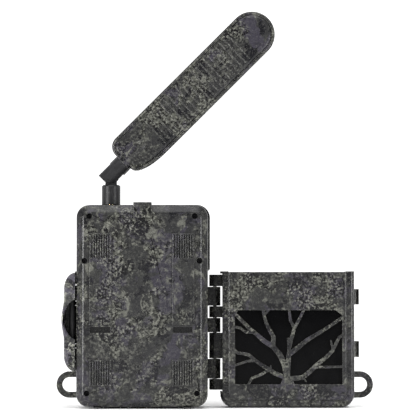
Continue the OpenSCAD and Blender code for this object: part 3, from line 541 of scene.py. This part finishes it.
def swept(path, section, closed):
    """A solid swept along a path of (point, inward) pairs in X and Z.

    The section is a list of (inset, y) pairs in millimetres.
    """
    bm = bmesh.new()
    rings = []
    for (px, pz), (nx, nz) in path:
        rings.append([
            bm.verts.new(((px + nx * s) * MM, y * MM, (pz + nz * s) * MM)) for s, y in section
        ])
    count = len(rings)
    for i in range(count if closed else count - 1):
        a, b = rings[i], rings[(i + 1) % count]
        for j in range(len(section)):
            k = (j + 1) % len(section)
            bm.faces.new((a[j], a[k], b[k], b[j]))
    if not closed:
        bm.faces.new(rings[0])
        bm.faces.new(rings[-1])
    bmesh.ops.recalc_face_normals(bm, faces=bm.faces)
    return bm


def corner_path(x0, x1, z0, z1, r, n=10, top_open=False, reach=0.0):
    """(point, inward) pairs round a rectangle whose corners are rounded about their centres."""
    corners = [
        (x1 - r, z1 - r, 0), (x0 + r, z1 - r, 90), (x0 + r, z0 + r, 180), (x1 - r, z0 + r, 270)
    ]
    path = []
    for cx, cz, start in corners[2:] if top_open else corners:
        for i in range(n + 1):
            a = math.radians(start + 90 * i / n)
            path.append(((cx + r * math.cos(a), cz + r * math.sin(a)), (-math.cos(a), -math.sin(a))))
    if top_open:
        path.insert(0, ((x0, z1 + reach), (1.0, 0.0)))
        path.append(((x1, z1 + reach), (-1.0, 0.0)))
    return path


def round_back(bm):
    """The bevel round the back face, with its two edges softened and its corners turned."""
    y, b = SHELL_BACK, SHELL_BEVEL
    inner, outer = 3.4, 2.6
    bend = math.tan(math.radians(22.5))
    start, end = b + inner * bend, y + b + outer * bend
    top = arc(start, y + inner, inner, 270, 225)
    side = arc(outer, end, outer, 225, 180)
    section = top + side + [(-1.2, end), (-1.2, y - 2.0), (start, y - 2.0)]
    path = corner_path(-SHELL_HALF, SHELL_HALF, 0.0, SHELL_TOP, SHELL_CORNER)
    shell = cut(bm, swept(path, section, True))
    return without_tab(shell)


def without_tab(shell):
    """The back shell less its top tab, which has a rounded piece of its own."""
    left, right, over = TAB_LOW[0] - 0.2, TAB_HIGH[0] + 0.2, TAB_HIGH[2] + 1.6
    behind = box_mesh((left, -23.0, TAB_LOW[2] - 0.1), (right, SHELL_BACK - 0.02, over), 0.0)
    above = box_mesh((left, -23.0, SHELL_TOP + 0.05), (right, TAB_HIGH[1] + 0.5, over), 0.0)
    return cut(cut(shell, behind), above)


def round_door(bm):
    """The stepped, softened edge that runs down both sides of the door and across its foot."""
    y = DOOR_FACE
    first = arc(7.2, y + 1.5, 1.5, 270, 180, 5)
    second = arc(3.2, y + 1.7 + 3.2, 3.2, 270, 180, 7)
    section = first + [(5.7, y + 1.7)] + second + [(-1.2, y + 4.9), (-1.2, y - 2.0), (7.2, y - 2.0)]
    path = corner_path(
        DOOR_LEFT, DOOR_RIGHT, DOOR_FOOT, DOOR_TOP, DOOR_CORNER, top_open=True, reach=3.0
    )
    return cut(bm, swept(path, section, False))


def outline_edge(face_y, side):
    """Picks the convex edges where a flat face at face_y meets the walls round it."""
    def chosen(e):
        if any(abs(v.co.y / MM - face_y) > 0.03 for v in e.verts):
            return False
        if e.calc_face_angle_signed(0) < math.radians(30):
            return False
        across = sorted(f.normal.y * side for f in e.link_faces)
        return across[0] < 0.3 and across[1] > 0.9
    return chosen


def round_outline(face_y, side, width, segments=5):
    def before(bm):
        wide_edges(bm, outline_edge(face_y, side), width, segments)
        return bm
    return before


def box_mesh(low, high, width, segments=3):
    """A block between two corners in millimetres with its edges rounded."""
    bm = bmesh.new()
    bmesh.ops.create_cube(bm, size=1.0)
    size = [high[i] - low[i] for i in range(3)]
    middle = [(high[i] + low[i]) / 2 for i in range(3)]
    for v in bm.verts:
        v.co = Vector([(v.co[i] * size[i] + middle[i]) * MM for i in range(3)])
    if width:
        bmesh.ops.bevel(
            bm, geom=list(bm.edges), offset=width * MM, offset_type="OFFSET", segments=segments,
            profile=0.5, affect="EDGES", clamp_overlap=True,
        )
    return bm


def add_mesh(name, bm, body, slot_name, material=None, stands_for=()):
    bmesh.ops.recalc_face_normals(bm, faces=bm.faces)
    mesh = bpy.data.meshes.new(name + "_shape")
    bm.to_mesh(mesh)
    bm.free()
    finish_mesh(mesh)
    o = piece(name, mesh, body, slot_name, material)
    if stands_for:
        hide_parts(*stands_for)
    return o


ROUNDING = {
    "back_shell": 0.22, "front_housing": 0.5, "door_shell": 0.22, "latch_lever": 0.25,
    "latch_link": 0.3, "antenna_base": 0.35, "antenna_sleeve": 0.3, "paddle_back": 0.2,
    "paddle_front": 0.2, "inner_panel": 0.25, "battery_tray": 0.2, "battery_bay": 0.15,
    "lens_bezel": 0.3, "lens_window": 0.15, "pir_lens": 0.12, "rear_screws": 0.12,
    "liner_screws": 0.12, "feet": 0.35, "hinge_pin": 0.2, "lever_pins": 0.12, "tilt_pin": 0.12,
    "key_up": 0.25, "key_down": 0.25, "key_left": 0.25, "key_right": 0.25, "key_ok": 0.25,
    "mode_switch": 0.2, "sd_card": 0.2, "sim_card": 0.1, "display_window": 0.2,
    "battery_cells": 0.35, "cell_contacts": 0.04, "door_liner": 0.2, "lamp_window": 0.15,
    "infrared_lamps": 0.15, "door_gasket": 0.3, "case_gasket": 0.15, "status_lamp": 0.12,
    "light_sensor": 0.2, "tripod_insert": 0.2, "antenna_jack": 0.1, "antenna_coupler": 0.15,
    "power_pins": 0.1, "power_pads": 0.15,
}
BEFORE = {
    "back_shell": round_back, "door_shell": round_door,
    "paddle_back": round_outline(PADDLE_BACK, -1, 2.4),
    "paddle_front": round_outline(PADDLE_FRONT, 1, 2.4),
    "latch_lever": round_outline(LEVER_BACK, -1, 1.0, 4),
}
for node in NODES:
    width = ROUNDING.get(node, 0.08)
    refined(
        node, width, 3 if width >= 0.3 else 2, material=MATERIAL_OF.get(node), before=BEFORE.get(node)
    )


add_mesh(
    "top_tab", box_mesh(TAB_LOW, TAB_HIGH, 0.5), "case", "shell", stands_for=("back_shell",),
)


def grip_bar():
    """The rounded bar behind the lever's finger recess."""
    profile = [
        (0.0, 49.9), (1.4, 50.0), (1.9, 50.6), (2.1, 53.0), (2.3, 60.0), (2.35, 64.2), (2.3, 68.4),
        (2.1, 75.4), (1.9, 77.8), (1.4, 78.4), (0.0, 78.5),
    ]
    bm = bmesh.new()
    line = [bm.verts.new((r * MM, 0.0, z * MM)) for r, z in profile]
    edges = [bm.edges.new(pair) for pair in zip(line, line[1:])]
    bmesh.ops.spin(
        bm, geom=line + edges, cent=(0, 0, 0), axis=(0, 0, 1), angle=math.radians(360), steps=40,
    )
    bmesh.ops.remove_doubles(bm, verts=bm.verts, dist=1e-6)
    bmesh.ops.translate(bm, verts=bm.verts, vec=(-51.9 * MM, -8.0 * MM, 0.0))
    return add_mesh("grip_bar", bm, "lever", "dark_plastic", stands_for=("latch_lever",))


grip_bar()


def side_lips():
    """Short ends of the case's side flange that close the view past the latch lever."""
    bm = bmesh.new()
    for low, high in ((90.2, 99.8), (26.1, 32.2)):
        lip = box_mesh((-51.7, 18.5, low), (-47.6, 20.5, high), 0.4)
        mesh = bpy.data.meshes.new("lip")
        lip.to_mesh(mesh)
        lip.free()
        bm.from_mesh(mesh)
        bpy.data.meshes.remove(mesh)
    return add_mesh("side_lips", bm, "case", "shell", stands_for=("back_shell",))


side_lips()


# ---------------------------------------------------------------- stage, light and camera

def stage_floor():
    low = CAD_LOW.z
    bm = bmesh.new()
    bmesh.ops.create_circle(bm, cap_ends=True, radius=3.2, segments=96)
    bmesh.ops.translate(bm, verts=bm.verts, vec=(0, 0, low - 0.00005))
    mesh = bpy.data.meshes.new("floor")
    bm.to_mesh(mesh)
    bm.free()
    o = bpy.data.objects.new("floor", mesh)
    bpy.context.scene.collection.objects.link(o)
    t = Tree("studio_floor")
    t.set(Base_Color=t.mix(t.noise(60, 3, 0.5), grey(0.90), grey(0.93)), Roughness=0.7,
          Specular_IOR_Level=0.1)
    mesh.materials.append(t.material)


def world_light():
    """Soft light that is stronger from beyond the object, and an even pale backdrop on every side."""
    backdrop = 1.35
    world = bpy.data.worlds.new("studio")
    bpy.context.scene.world = world
    world.use_nodes = True
    nodes, links = world.node_tree.nodes, world.node_tree.links
    nodes.clear()
    out = nodes.new("ShaderNodeOutputWorld")
    sky = nodes.new("ShaderNodeBackground")
    sky.inputs["Color"].default_value = grey(1.0)
    where = nodes.new("ShaderNodeTexCoord")
    split = nodes.new("ShaderNodeSeparateXYZ")
    ramp = nodes.new("ShaderNodeMapRange")
    ramp.interpolation_type = "SMOOTHSTEP"
    for name, v in (("From Min", -0.15), ("From Max", 0.55), ("To Min", 0.18), ("To Max", backdrop)):
        ramp.inputs[name].default_value = v
    seen = nodes.new("ShaderNodeLightPath")
    strength = nodes.new("ShaderNodeMix")
    strength.inputs["B"].default_value = backdrop
    links.new(where.outputs["Generated"], split.inputs[0])
    links.new(split.outputs["Y"], ramp.inputs["Value"])
    links.new(seen.outputs["Is Camera Ray"], strength.inputs["Factor"])
    links.new(ramp.outputs["Result"], strength.inputs["A"])
    links.new(strength.outputs["Result"], sky.inputs["Strength"])
    links.new(sky.outputs[0], out.inputs["Surface"])


def lamp(name, kind, place, aim, energy, size=0.3, tall=None, angle=0.5):
    data = bpy.data.lights.new(name, kind)
    data.energy = energy
    if kind == "AREA":
        data.shape = "RECTANGLE" if tall else "SQUARE"
        data.size = size
        if tall:
            data.size_y = tall
    else:
        data.angle = angle
    o = bpy.data.objects.new(name, data)
    bpy.context.scene.collection.objects.link(o)
    o.location = place
    o.rotation_euler = (Vector(aim) - Vector(place)).to_track_quat("-Z", "Y").to_euler()
    return o


stage_floor()
world_light()
lamp("overhead", "SUN", (0.1, -0.7, 1.6), (0.05, 0.0, 0.0), 2.6, angle=1.1)
STRIP_WIDTH = 0.20
STRIP_AIM = (0.0, 0.0, 0.08)
SOFT_Z, SOFT_HEIGHT = 0.30, 1.0
SHINE_Z, SHINE_HEIGHT = 0.12, 0.24
for side, x, y, soft_power, shine_power in (
    ("left", -1.15, -1.05, 32.0, 13.0), ("right", 1.25, -1.00, 21.0, 7.5),
):
    # the tall strips give soft light and no shine; the low ones only shine, mostly on upright edges
    soft = lamp(side + "_strip", "AREA", (x, y, SOFT_Z), STRIP_AIM, soft_power, STRIP_WIDTH, SOFT_HEIGHT)
    soft.visible_glossy = False
    shine = lamp(side + "_shine", "AREA", (x, y, SHINE_Z), STRIP_AIM, shine_power, STRIP_WIDTH,
                 SHINE_HEIGHT)
    shine.visible_diffuse = False

CAMERA_X, CAMERA_Y, CAMERA_Z = 0.050, -1.579, 0.0888
CAMERA_PITCH = 2.05    # degrees above level
camera = bpy.data.cameras.new("view")
camera.sensor_width = 36.0
camera.lens = 181.9
camera.clip_end = 20.0
camera.dof.use_dof = False
eye = bpy.data.objects.new("view", camera)
bpy.context.scene.collection.objects.link(eye)
eye.location = (CAMERA_X, CAMERA_Y, CAMERA_Z)
eye.rotation_euler = (math.radians(90 + CAMERA_PITCH), 0.0, 0.0)
bpy.context.scene.camera = eye
bpy.context.scene.view_settings.view_transform = "Standard"
